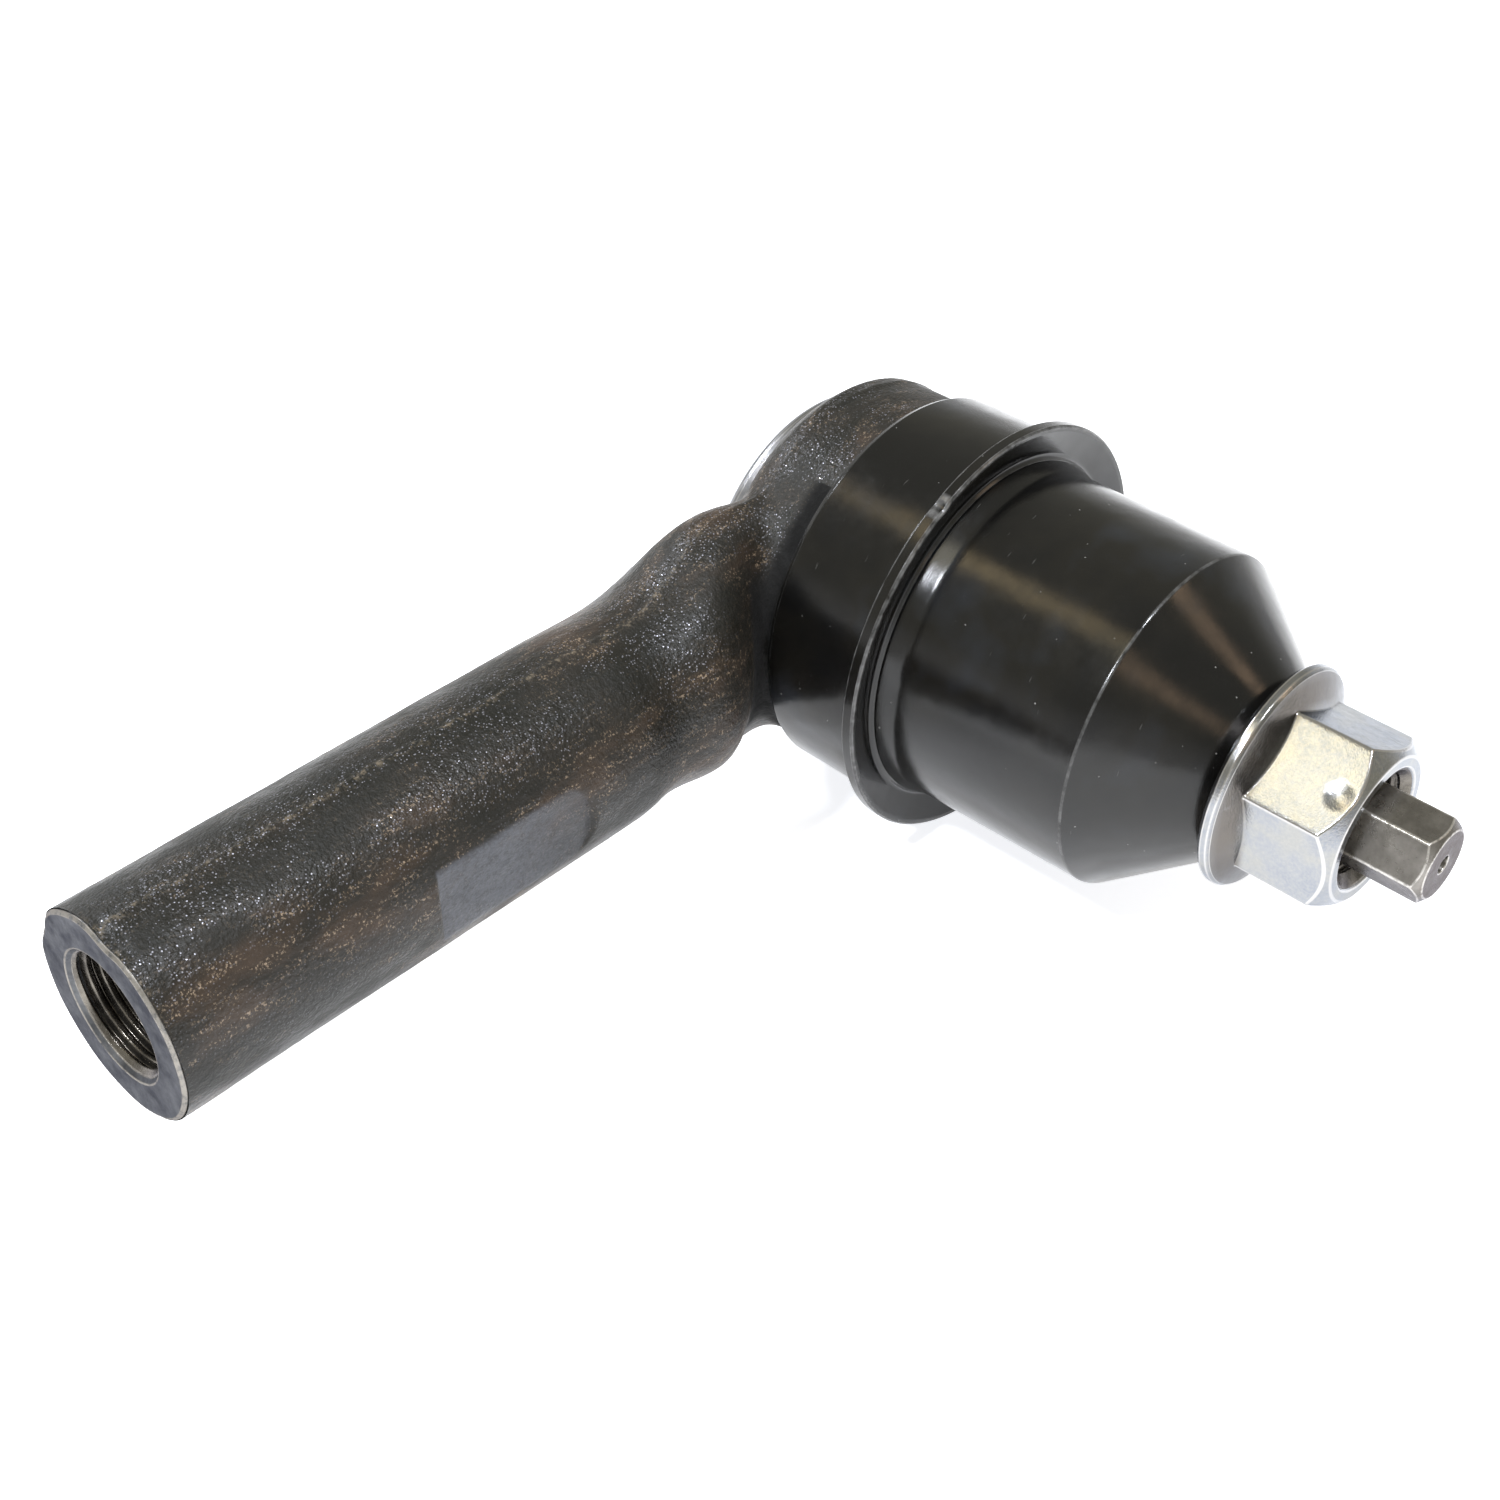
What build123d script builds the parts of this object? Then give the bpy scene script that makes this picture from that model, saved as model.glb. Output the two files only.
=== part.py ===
from build123d import *
import math
import os

os.makedirs("parts", exist_ok=True)

# Tie rod end. Millimetres.
# Origin: on the axis of the threaded socket, at its first full thread turn.
# +X runs along the shank to the ball, the stud points along -Y, and +Z is up.
# Turned pieces are written as (radius, y) corners about the stud axis.

# ---- driving dimensions -----------------------------------------------------

BALL_X = 120.0            # socket origin to the stud axis
BALL_Y = -9.0             # ball centre, ahead of the shank axis
BALL_R = 13.5
SEAT_CLEARANCE = 0.05     # running clearance between the ball and its seats
SAME_BODY_GAP = 0.05      # slip between inner pieces that sit in one another

SHANK_R = 13.25
MOUTH_CHAMFER = 1.2       # countersink at the mouth of the thread
MOUTH_EDGE = 0.35         # broken outer edge of the mouth
THREAD_R = 7.188          # M16 x 1.5 minor radius
THREAD_LENGTH = 46.0
DRILL_POINT = 4.2

FLAT_DISTANCE = 12.35     # spanner flats, half of the distance across them
FLAT_START = 34.0
FLAT_LENGTH = 23.0
FLAT_WIDTH = 12.0
FLAT_CORNER_R = 5.5

NECK_START = 70.0
NECK_LENGTH = 38.0
# Outlines across the neck: x past its start, half width, front y, back y, squareness.
NECK_SECTIONS = [
    (9.0, 13.45, -13.15, 13.25, 2.0),
    (15.0, 15.55, -11.6, 12.6, 2.2),
    (19.5, 17.45, -8.4, 11.2, 2.6),
    (23.5, 18.45, -5.9, 9.6, 3.0),
    (NECK_LENGTH, 18.05, -5.2, 5.4, 3.0),
]

EYE_R = 25.4
EYE_BACK_Y = 6.0
EYE_BEVEL_R = 23.6
EYE_BEVEL_Y = 4.0
EYE_SHOULDER_Y = -15.2
NOSE_GROOVE_R = 19.8
NOSE_LIP_R = 21.2
NOSE_LIP_Y = -19.6
EYE_FRONT_Y = -21.5

SEAT_R = 17.0
SEAT_STEP_Y = -14.5
SEAT_FRONT_R = 14.6
SEAT_FRONT_Y = -18.5
SEAT_LIP_R = 11.4
SEAT_LIP_Y = -16.1
SEAT_FLARE_R = 12.65
SEAT_BACK_Y = 6.2
SEAT_GREASE_HOLE_R = 3.0
OPENING_R = 13.2
OPENING_MOUTH_R = 15.3

COVER_R = 21.7
COVER_WALL = 1.8
COVER_FRONT_Y = 2.5
COVER_BACK_Y = 10.0
COVER_EDGE_R = 1.3
COVER_DISH_R = 9.0
COVER_DISH_DEPTH = 0.5
SEAL_R = 20.8
SEAL_SECTION_R = 0.7
SEAL_Y = 1.75
SEAL_GROOVE_Y = 1.0

PLATE_R = 15.0
PLATE_HOLE_R = 3.5
PLATE_THICKNESS = 0.75
SPRING_OUTER_R = 14.0
SPRING_INNER_R = 7.0
SPRING_THICKNESS = 0.5
SPRING_RISE = 0.65

COLLAR_R = 26.8
COLLAR_INNER_R = 25.5
COLLAR_BACK_Y = -7.2
COLLAR_BEVEL = (0.9, 2.4)  # radial and axial size of the bevel behind the skirt
FLANGE_R = 29.1
FLANGE_BACK_Y = -22.4
FLANGE_FRONT_Y = -24.3
FLANGE_EDGE = 0.25
COLLAR_HOLE_R = 23.8

CLAMP_R = 23.3
CLAMP_WIRE_R = 0.75
CLAMP_Y = -17.5

BOOT_BASE_R = 23.45
BOOT_SHOULDER_R = 23.05
BOOT_SHOULDER_Y = -52.3
BOOT_TOP_R = 12.0
BOOT_TOP_Y = -66.0
BOOT_BASE_Y = -15.6
BOOT_INNER_R = 21.5
BOOT_BEAD_R = 20.1
BOOT_BEAD_Y = -19.3
BOOT_WALL = 2.0
BOOT_HOLE_R = 10.25
BOOT_LIP_R = 12.0
BOOT_LIP_Y = -59.0
RING_GROOVE_R = 22.2
RING_GROOVE_HALF = 0.95

LAND_R = 7.9              # plain land of the stud, under the bush
BUSH_CLEARANCE = 0.07
BUSH_R = 10.0
BUSH_START_Y = -58.8
BUSH_END_Y = -65.9
TOP_RING_R = 12.85
TOP_RING_WIRE_R = 0.65
TOP_RING_Y = -59.8

NECK_R = 7.0
NECK_END_Y = -30.5
TAPER_START_Y = -34.0
TAPER_START_R = 9.2
LAND_START_Y = -58.5
THREAD_START_Y = -66.1
STUD_THREAD_R = 7.0       # M14 major radius
UNDERCUT_R = 6.2
UNDERCUT_END_Y = -67.4
STUD_THREAD_END_Y = -79.3
THREAD_EDGE = 0.7
BALL_FLAT = 12.6          # ball centre to the flat behind it
TIP_FLATS = 10.0
TIP_END_Y = -90.5
TIP_CHAMFER = 0.8
TIP_CLOCK = 125.5         # angle of one tip corner about the stud axis
CENTRE_DRILL_R = 1.3
CENTRE_DRILL_DEPTH = 1.6

NUT_BEARING_Y = -66.4
NUT_TOP_Y = -81.7
NUT_FLATS = 21.0
NUT_FLANGE_R = 15.0
NUT_RIM = 1.5
NUT_RIM_BEVEL = 0.5
NUT_CONE_TOP = (9.6, 4.8)  # radius and height where the flange meets the hexagon
NUT_BORE_R = 7.05
NUT_COUNTERSINK_R = 8.0
NUT_TOP_EDGE = (10.1, 1.7)  # radius of the flat top and depth of its chamfer
NUT_CLOCK = 97.5
CRIMP_SPHERE_R = 3.0
CRIMP_DEPTH = 0.7
CRIMP_FROM_TOP = 3.8

STUD_AXIS = Axis((BALL_X, 0, 0), (0, 1, 0))
BALL_CENTRE = Pos(BALL_X, BALL_Y, 0)


# ---- helpers ----------------------------------------------------------------

def turned(corners):
    """Solid of revolution about the stud axis from (radius, y) corners."""
    outline = Polyline([(BALL_X + radius, y) for radius, y in corners], close=True)
    return revolve(make_face(outline), axis=STUD_AXIS, revolution_arc=360)


def turned_on_shank(corners):
    """Solid of revolution about the shank axis from (x, radius) corners."""
    outline = Polyline(corners, close=True)
    return revolve(make_face(outline), axis=Axis.X, revolution_arc=360)


def wire_ring(radius, section_radius, y):
    """Round-section ring about the stud axis."""
    return Pos(BALL_X, y, 0) * Rot(90, 0, 0) * Torus(radius, section_radius)


def hexagon_bar(across_flats, clock, y_from, y_to):
    """Hexagonal bar on the stud axis with one corner at the clock angle."""
    section = RegularPolygon(across_flats / 2, 6, major_radius=False)
    plane = Plane(origin=(BALL_X, y_from, 0), x_dir=(1, 0, 0), z_dir=(0, -1, 0))
    return extrude(plane * Rot(0, 0, clock) * section, abs(y_to - y_from))


# ---- housing ----------------------------------------------------------------

def neck_section(x, half_width, front_y, back_y, squareness):
    """Closed outline across the neck: elliptical ahead, squarer behind."""
    middle_y = (front_y + back_y) / 2
    half_height = (back_y - front_y) / 2
    points = []
    for step in range(16):
        angle = 2 * math.pi * step / 16
        across, along = math.cos(angle), math.sin(angle)
        power = 2 / squareness if along > 0 else 1.0
        z = half_width * math.copysign(abs(across) ** power, across)
        y = middle_y + half_height * math.copysign(abs(along) ** power, along)
        points.append((x, y, z))
    return Face(Wire([Edge.make_spline([Vector(*point) for point in points], periodic=True)]))


def make_neck():
    """Flattened neck that carries the round shank into the eye."""
    start = Plane(origin=(NECK_START, 0, 0), x_dir=(0, 0, 1), z_dir=(-1, 0, 0))
    sections = [start * Circle(SHANK_R)]
    for offset, half_width, front_y, back_y, squareness in NECK_SECTIONS:
        sections.append(neck_section(NECK_START + offset, half_width, front_y, back_y, squareness))
    return loft(sections)


def make_housing():
    """Forging: socket shank with spanner flats, neck, and the eye around the ball."""
    mouth_x = -MOUTH_CHAMFER
    shank = turned_on_shank([
        (mouth_x, 0), (mouth_x, SHANK_R - MOUTH_EDGE), (mouth_x + MOUTH_EDGE, SHANK_R),
        (NECK_START, SHANK_R), (NECK_START, 0),
    ])
    eye = turned([
        (0, EYE_BACK_Y), (EYE_BEVEL_R, EYE_BACK_Y), (EYE_R, EYE_BEVEL_Y),
        (EYE_R, EYE_SHOULDER_Y), (NOSE_GROOVE_R, EYE_SHOULDER_Y),
        (NOSE_GROOVE_R, NOSE_LIP_Y), (NOSE_LIP_R, NOSE_LIP_Y),
        (NOSE_LIP_R, EYE_FRONT_Y), (0, EYE_FRONT_Y),
    ])
    bore = turned_on_shank([
        (mouth_x, 0), (mouth_x, THREAD_R + MOUTH_CHAMFER), (0, THREAD_R),
        (THREAD_LENGTH, THREAD_R), (THREAD_LENGTH + DRILL_POINT, 0),
    ])
    pocket = turned([
        (0, SHANK_R + 1), (EYE_BEVEL_R, SHANK_R + 1), (EYE_BEVEL_R, EYE_BACK_Y),
        (COVER_R, EYE_BACK_Y), (COVER_R, SEAL_GROOVE_Y),
        (SEAT_R, SEAL_GROOVE_Y), (SEAT_R, SEAT_STEP_Y), (SEAT_FRONT_R, SEAT_FRONT_Y),
        (OPENING_R, SEAT_FRONT_Y), (OPENING_MOUTH_R, EYE_FRONT_Y), (0, EYE_FRONT_Y),
    ])
    forging = shank + make_neck() + eye - bore - pocket
    flat_plan = RectangleRounded(FLAT_LENGTH, FLAT_WIDTH, FLAT_CORNER_R)
    for side in (-1, 1):
        plane = Plane(
            origin=(FLAT_START + FLAT_LENGTH / 2, side * FLAT_DISTANCE, 0),
            x_dir=(1, 0, 0), z_dir=(0, side, 0))
        forging -= extrude(plane * flat_plan, SHANK_R)
    return forging


def make_cover():
    """Drawn steel cup that closes the back of the eye."""
    inner_r = COVER_R - COVER_WALL
    floor_y = COVER_BACK_Y - COVER_WALL
    cup = turned([
        (0, COVER_BACK_Y - COVER_DISH_DEPTH), (COVER_DISH_R - 1, COVER_BACK_Y - COVER_DISH_DEPTH),
        (COVER_DISH_R, COVER_BACK_Y), (COVER_R, COVER_BACK_Y), (COVER_R, COVER_FRONT_Y),
        (inner_r, COVER_FRONT_Y), (inner_r, floor_y), (0, floor_y),
    ])
    rim = cup.edges().filter_by(GeomType.CIRCLE).filter_by(
        lambda edge: abs(edge.radius - COVER_R) < 0.01 and edge.center().Y > COVER_BACK_Y - 0.01)
    return fillet(rim, COVER_EDGE_R)


def make_spring():
    """Conical disc spring between the pressure plate and the cover."""
    low_y = SEAT_BACK_Y + PLATE_THICKNESS + SAME_BODY_GAP
    return turned([
        (SPRING_INNER_R, low_y + SPRING_RISE), (SPRING_INNER_R, low_y + SPRING_RISE + SPRING_THICKNESS),
        (SPRING_OUTER_R, low_y + SPRING_THICKNESS), (SPRING_OUTER_R, low_y),
    ])


def make_plate():
    """Steel washer that spreads the spring load over the upper seat."""
    return turned([
        (PLATE_HOLE_R, SEAT_BACK_Y), (PLATE_HOLE_R, SEAT_BACK_Y + PLATE_THICKNESS),
        (PLATE_R, SEAT_BACK_Y + PLATE_THICKNESS), (PLATE_R, SEAT_BACK_Y),
    ])


def make_upper_seat():
    """Plastic cup over the back half of the ball."""
    radius = SEAT_R - SAME_BODY_GAP
    split_y = BALL_Y + SAME_BODY_GAP
    cup = turned([
        (SEAT_GREASE_HOLE_R, split_y), (SEAT_GREASE_HOLE_R, SEAT_BACK_Y),
        (radius, SEAT_BACK_Y), (radius, split_y),
    ])
    return cup - BALL_CENTRE * Sphere(BALL_R + SEAT_CLEARANCE)


def make_lower_seat():
    """Plastic ring that holds the ball in, flared so that the stud can lean."""
    radius = SEAT_R - SAME_BODY_GAP
    split_y = BALL_Y - SAME_BODY_GAP
    front_y = SEAT_FRONT_Y + SAME_BODY_GAP
    ring = turned([
        (SEAT_LIP_R - 3, split_y), (radius, split_y), (radius, SEAT_STEP_Y),
        (SEAT_FRONT_R - SAME_BODY_GAP, front_y), (SEAT_FLARE_R, front_y),
        (SEAT_LIP_R, SEAT_LIP_Y), (SEAT_LIP_R - 3, SEAT_LIP_Y),
    ])
    return ring - BALL_CENTRE * Sphere(BALL_R + SEAT_CLEARANCE)


def make_collar():
    """Flanged plastic collar pushed over the eye, holding the boot's base."""
    bevel_r, bevel_y = COLLAR_BEVEL
    return turned([
        (COLLAR_INNER_R, COLLAR_BACK_Y), (COLLAR_R - bevel_r, COLLAR_BACK_Y),
        (COLLAR_R, COLLAR_BACK_Y - bevel_y), (COLLAR_R, FLANGE_BACK_Y),
        (FLANGE_R - FLANGE_EDGE, FLANGE_BACK_Y), (FLANGE_R, FLANGE_BACK_Y - FLANGE_EDGE),
        (FLANGE_R, FLANGE_FRONT_Y + FLANGE_EDGE), (FLANGE_R - FLANGE_EDGE, FLANGE_FRONT_Y),
        (COLLAR_HOLE_R, FLANGE_FRONT_Y), (COLLAR_HOLE_R, FLANGE_BACK_Y),
        (COLLAR_INNER_R, FLANGE_BACK_Y),
    ])


# ---- boot -------------------------------------------------------------------

def make_boot():
    """Moulded boot: bead in the nose groove, cylinder, cone and a lip on the bush."""
    cone_drop = BOOT_SHOULDER_R - BOOT_TOP_R
    cone_length = BOOT_SHOULDER_Y - BOOT_TOP_Y
    cone_wall = BOOT_WALL * math.hypot(cone_drop, cone_length) / cone_length
    inner_shoulder_r = BOOT_SHOULDER_R - cone_wall
    lip_back_r = BOOT_LIP_R + 1.6
    lip_back_y = BOOT_SHOULDER_Y - (inner_shoulder_r - lip_back_r) * cone_length / cone_drop
    return turned([
        (BOOT_BASE_R, BOOT_BASE_Y), (BOOT_BASE_R, CLAMP_Y + RING_GROOVE_HALF),
        (RING_GROOVE_R, CLAMP_Y + RING_GROOVE_HALF), (RING_GROOVE_R, CLAMP_Y - RING_GROOVE_HALF),
        (BOOT_BASE_R, CLAMP_Y - RING_GROOVE_HALF), (BOOT_BASE_R, FLANGE_FRONT_Y),
        (BOOT_SHOULDER_R, BOOT_SHOULDER_Y), (BOOT_TOP_R, BOOT_TOP_Y), (BOOT_HOLE_R, BOOT_TOP_Y),
        (BOOT_HOLE_R, BOOT_LIP_Y), (BOOT_LIP_R, BOOT_LIP_Y), (BOOT_LIP_R, lip_back_y),
        (lip_back_r, lip_back_y), (inner_shoulder_r, BOOT_SHOULDER_Y),
        (BOOT_INNER_R, BOOT_SHOULDER_Y + 2), (BOOT_INNER_R, BOOT_BEAD_Y),
        (BOOT_BEAD_R, BOOT_BEAD_Y), (BOOT_BEAD_R, BOOT_BASE_Y),
    ])


def make_bush():
    """Slide bush between the boot's small end and the stud."""
    return turned([
        (LAND_R + BUSH_CLEARANCE, BUSH_START_Y), (BUSH_R, BUSH_START_Y),
        (BUSH_R, BUSH_END_Y), (LAND_R + BUSH_CLEARANCE, BUSH_END_Y),
    ])


# ---- stud and nut -----------------------------------------------------------

def make_stud():
    """Ball, neck, taper, plain land, thread and hexagonal tip in one forging."""
    ball = BALL_CENTRE * Sphere(BALL_R)
    ball -= Pos(BALL_X, BALL_Y + BALL_FLAT + 1, 0) * Box(2 * BALL_R, 2, 2 * BALL_R)
    shaft = turned([
        (0, BALL_Y), (NECK_R, BALL_Y), (NECK_R, NECK_END_Y), (TAPER_START_R, TAPER_START_Y),
        (LAND_R, LAND_START_Y), (LAND_R, THREAD_START_Y), (UNDERCUT_R, THREAD_START_Y),
        (UNDERCUT_R, UNDERCUT_END_Y), (STUD_THREAD_R, UNDERCUT_END_Y - THREAD_EDGE),
        (STUD_THREAD_R, STUD_THREAD_END_Y + THREAD_EDGE),
        (STUD_THREAD_R - THREAD_EDGE, STUD_THREAD_END_Y), (0, STUD_THREAD_END_Y),
    ])
    tip = hexagon_bar(TIP_FLATS, TIP_CLOCK, STUD_THREAD_END_Y + 1, TIP_END_Y)
    tip_r = TIP_FLATS / math.sqrt(3)
    envelope = turned([
        (0, STUD_THREAD_END_Y + 1), (tip_r + 1, STUD_THREAD_END_Y + 1),
        (tip_r + 1, TIP_END_Y + TIP_CHAMFER + 1), (tip_r - TIP_CHAMFER, TIP_END_Y), (0, TIP_END_Y),
    ])
    centre_drill = turned([
        (0, TIP_END_Y), (CENTRE_DRILL_R, TIP_END_Y), (0, TIP_END_Y + CENTRE_DRILL_DEPTH),
    ])
    return ball + shaft + (tip & envelope) - centre_drill


def make_nut():
    """All-metal locking flange nut, crimped on three flats."""
    cone_r, cone_height = NUT_CONE_TOP
    top_r, top_depth = NUT_TOP_EDGE
    corner_r = NUT_FLATS / math.sqrt(3)
    flange = turned([
        (0, NUT_BEARING_Y), (NUT_FLANGE_R - NUT_RIM_BEVEL, NUT_BEARING_Y),
        (NUT_FLANGE_R, NUT_BEARING_Y - NUT_RIM_BEVEL), (NUT_FLANGE_R, NUT_BEARING_Y - NUT_RIM),
        (cone_r, NUT_BEARING_Y - cone_height), (0, NUT_BEARING_Y - cone_height),
    ])
    hexagon = hexagon_bar(NUT_FLATS, NUT_CLOCK, NUT_BEARING_Y - 1, NUT_TOP_Y)
    envelope = turned([
        (0, NUT_BEARING_Y), (corner_r + 1, NUT_BEARING_Y),
        (corner_r + 1, NUT_TOP_Y + top_depth * 1.4), (top_r, NUT_TOP_Y), (0, NUT_TOP_Y),
    ])
    bore = turned([
        (0, NUT_BEARING_Y), (NUT_COUNTERSINK_R, NUT_BEARING_Y),
        (NUT_BORE_R, NUT_BEARING_Y - (NUT_COUNTERSINK_R - NUT_BORE_R)),
        (NUT_BORE_R, NUT_TOP_Y + (NUT_COUNTERSINK_R - NUT_BORE_R)),
        (NUT_COUNTERSINK_R, NUT_TOP_Y), (0, NUT_TOP_Y),
    ])
    nut = flange + (hexagon & envelope) - bore
    reach = NUT_FLATS / 2 + CRIMP_SPHERE_R - CRIMP_DEPTH
    for turn in range(3):
        angle = math.radians(NUT_CLOCK + 30 + 120 * turn)
        x = BALL_X + reach * math.cos(angle)
        z = reach * math.sin(angle)
        nut -= Pos(x, NUT_TOP_Y + CRIMP_FROM_TOP, z) * Sphere(CRIMP_SPHERE_R)
    return nut


# ---- write every sub-part ---------------------------------------------------

PARTS = {
    "forged_housing": make_housing(),
    "end_cover": make_cover(),
    "cover_seal_ring": wire_ring(SEAL_R, SEAL_SECTION_R, SEAL_Y),
    "preload_spring": make_spring(),
    "pressure_plate": make_plate(),
    "upper_bearing_seat": make_upper_seat(),
    "lower_bearing_seat": make_lower_seat(),
    "boot_collar": make_collar(),
    "boot_clamp_ring": wire_ring(CLAMP_R, CLAMP_WIRE_R, CLAMP_Y),
    "dust_boot": make_boot(),
    "boot_top_bush": make_bush(),
    "boot_top_ring": wire_ring(TOP_RING_R, TOP_RING_WIRE_R, TOP_RING_Y),
    "ball_stud": make_stud(),
    "flange_nut": make_nut(),
}

for node, shape in PARTS.items():
    export_step(shape, f"parts/{node}.step")
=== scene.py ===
import math

import bmesh
import bpy
import numpy as np
from mathutils import Matrix, Vector, noise


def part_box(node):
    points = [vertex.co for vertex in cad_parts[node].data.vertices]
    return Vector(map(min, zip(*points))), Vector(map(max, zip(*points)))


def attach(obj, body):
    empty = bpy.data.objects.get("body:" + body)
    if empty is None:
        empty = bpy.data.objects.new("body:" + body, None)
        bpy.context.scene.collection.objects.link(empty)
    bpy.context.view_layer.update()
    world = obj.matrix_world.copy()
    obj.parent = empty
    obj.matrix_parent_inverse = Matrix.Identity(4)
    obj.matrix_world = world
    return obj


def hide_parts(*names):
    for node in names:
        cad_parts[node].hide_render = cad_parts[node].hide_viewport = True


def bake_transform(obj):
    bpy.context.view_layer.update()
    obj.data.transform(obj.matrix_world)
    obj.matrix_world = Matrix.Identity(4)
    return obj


# Tie rod end. Shapes are written in millimetres in the part's own frame: the shank lies
# along X, the stud points along -Y, and its axis is at x = STUD_X. Profiles are lists of
# (radius, place along the axis, fillet) corners.

MM = 0.001
TAU = 2 * math.pi

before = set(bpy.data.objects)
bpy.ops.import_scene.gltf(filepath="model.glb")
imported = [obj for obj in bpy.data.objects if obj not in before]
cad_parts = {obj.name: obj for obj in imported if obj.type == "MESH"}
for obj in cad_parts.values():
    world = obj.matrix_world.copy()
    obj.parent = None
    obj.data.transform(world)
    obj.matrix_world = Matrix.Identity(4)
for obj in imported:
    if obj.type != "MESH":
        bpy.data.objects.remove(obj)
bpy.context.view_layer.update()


# ---- sizes that come from the frame -----------------------------------------

LOW, HIGH = 0, 1
X, Y = 0, 1


def frame_side(node, end, axis):
    """One side of a CAD node's box in millimetres, to the nearest 0.01."""
    return round(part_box(node)[end][axis] / MM, 2)


STUD_X = (frame_side("flange_nut", LOW, X) + frame_side("flange_nut", HIGH, X)) / 2
MOUTH_X = frame_side("forged_housing", LOW, X)
SHANK_R = frame_side("forged_housing", HIGH, Y)
COLLAR_R = round(frame_side("boot_collar", HIGH, X) - STUD_X, 2)
COLLAR_BACK = frame_side("boot_collar", HIGH, Y)
COLLAR_FRONT = frame_side("boot_collar", LOW, Y)
BOOT_END = frame_side("dust_boot", LOW, Y)
NUT_FLANGE_R = round(frame_side("flange_nut", HIGH, X) - STUD_X, 2)
NUT_BASE = frame_side("flange_nut", HIGH, Y)
NUT_TOP = frame_side("flange_nut", LOW, Y)
TIP_END = frame_side("ball_stud", LOW, Y)


# ---- formulas ---------------------------------------------------------------

def smooth_step(x, low, high):
    """0 before low and 1 after high; low may be the larger of the two."""
    t = np.clip((x - low) / (high - low), 0, 1)
    return t * t * (3 - 2 * t)


def bump_at(value, centre, width):
    """A smooth hump, 1 at its centre."""
    return np.exp(-(((value - centre) / width) ** 2))


def angle_gap(angle, degrees):
    """Signed gap in degrees from an angle in radians to one in degrees."""
    return (np.degrees(angle) - degrees + 180) % 360 - 180


def grain(co, size, seed):
    """Smooth noise from -1 to 1 at each point, with features of a size in millimetres."""
    shift = Vector((seed * 17.3, seed * 5.1, seed * 9.7))
    return np.array([noise.noise(Vector(p) + shift) for p in (co / size)])


# ---- profiles ---------------------------------------------------------------

EDGE_MARGIN = 0.12


def eased(corners, steps=4, closed=False):
    """Polyline from (a, b, fillet) corners, with every corner rounded by its own fillet."""
    points = []
    count = len(corners)
    for i, (a, b, fillet) in enumerate(corners):
        here = np.array([a, b], float)
        if fillet <= 0 or (not closed and i in (0, count - 1)):
            points.append(here)
            continue
        before = np.array(corners[i - 1][:2], float) - here
        after = np.array(corners[(i + 1) % count][:2], float) - here
        before_length = np.linalg.norm(before)
        after_length = np.linalg.norm(after)
        u, v = before / before_length, after / after_length
        turn = math.acos(max(-1.0, min(1.0, float(u @ v))))
        if turn > math.pi - 0.02:
            points.append(here)
            continue
        back = min(fillet / math.tan(turn / 2), 0.48 * before_length, 0.48 * after_length)
        radius = back * math.tan(turn / 2)
        middle = here + (u + v) / np.linalg.norm(u + v) * radius / math.sin(turn / 2)
        start, end = here + u * back - middle, here + v * back - middle
        swing = math.pi - turn
        for k in range(steps + 1):
            t = k / steps
            arc = (math.sin((1 - t) * swing) * start + math.sin(t * swing) * end) / math.sin(swing)
            points.append(middle + arc)
    return np.array(points)


def divided(points, longest, closed=False):
    """Adds points along long runs, with one close to each end so that the shading stays flat."""
    out = []
    count = len(points)
    for i in range(count if closed else count - 1):
        a, b = points[i], points[(i + 1) % count]
        length = float(np.linalg.norm(b - a))
        out.append(a)
        if length > 4 * EDGE_MARGIN:
            between = length - 2 * EDGE_MARGIN
            inner = max(1, int(math.ceil(between / longest)))
            stops = [(EDGE_MARGIN + between * k / inner) / length for k in range(inner)]
            stops.append(1 - EDGE_MARGIN / length)
            out.extend(a + (b - a) * s for s in stops)
    if not closed:
        out.append(points[-1])
    return np.array(out)


def eased_column(corners, runs, steps=3):
    """Like eased and divided, with a fixed number of points along the run after each corner."""
    points = eased(corners, steps=steps, closed=True)
    out = []
    i = 0
    for (_, _, fillet), run in zip(corners, runs):
        arc = 1 if fillet <= 0 else steps + 1
        out.extend(points[i:i + arc])
        i += arc
        a, b = points[i - 1], points[i % len(points)]
        length = float(np.linalg.norm(b - a))
        edge = min(0.1, 0.2 * length) / length
        out.extend(a + (b - a) * (edge + (1 - 2 * edge) * k / run) for k in range(run + 1))
    return np.array(out)


# ---- meshes -----------------------------------------------------------------

# outer edges take painted highlight as well as wear between these turns
SHARP_TURN = (0.05, 0.14)    # radians between faces at which an outer edge starts and ends to wear


def add_object(name, data):
    obj = bpy.data.objects.new(name, data)
    bpy.context.scene.collection.objects.link(obj)
    return obj


def point_array(mesh):
    """A mesh's points in millimetres."""
    co = np.zeros(len(mesh.vertices) * 3)
    mesh.vertices.foreach_get("co", co)
    return co.reshape(-1, 3) / MM


def set_points(mesh, co):
    mesh.vertices.foreach_set("co", (co * MM).ravel())
    mesh.update()


def mesh_object(name, points, faces):
    """Mesh object from points in millimetres, welded, with its faces turned outwards."""
    mesh = bpy.data.meshes.new(name)
    mesh.from_pydata((np.asarray(points, float) * MM).tolist(), [], faces)
    bm = bmesh.new()
    bm.from_mesh(mesh)
    bmesh.ops.remove_doubles(bm, verts=bm.verts, dist=2e-6)
    bmesh.ops.recalc_face_normals(bm, faces=bm.faces)
    bm.to_mesh(mesh)
    bm.free()
    mesh.polygons.foreach_set("use_smooth", [True] * len(mesh.polygons))
    return add_object(name, mesh)


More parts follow.
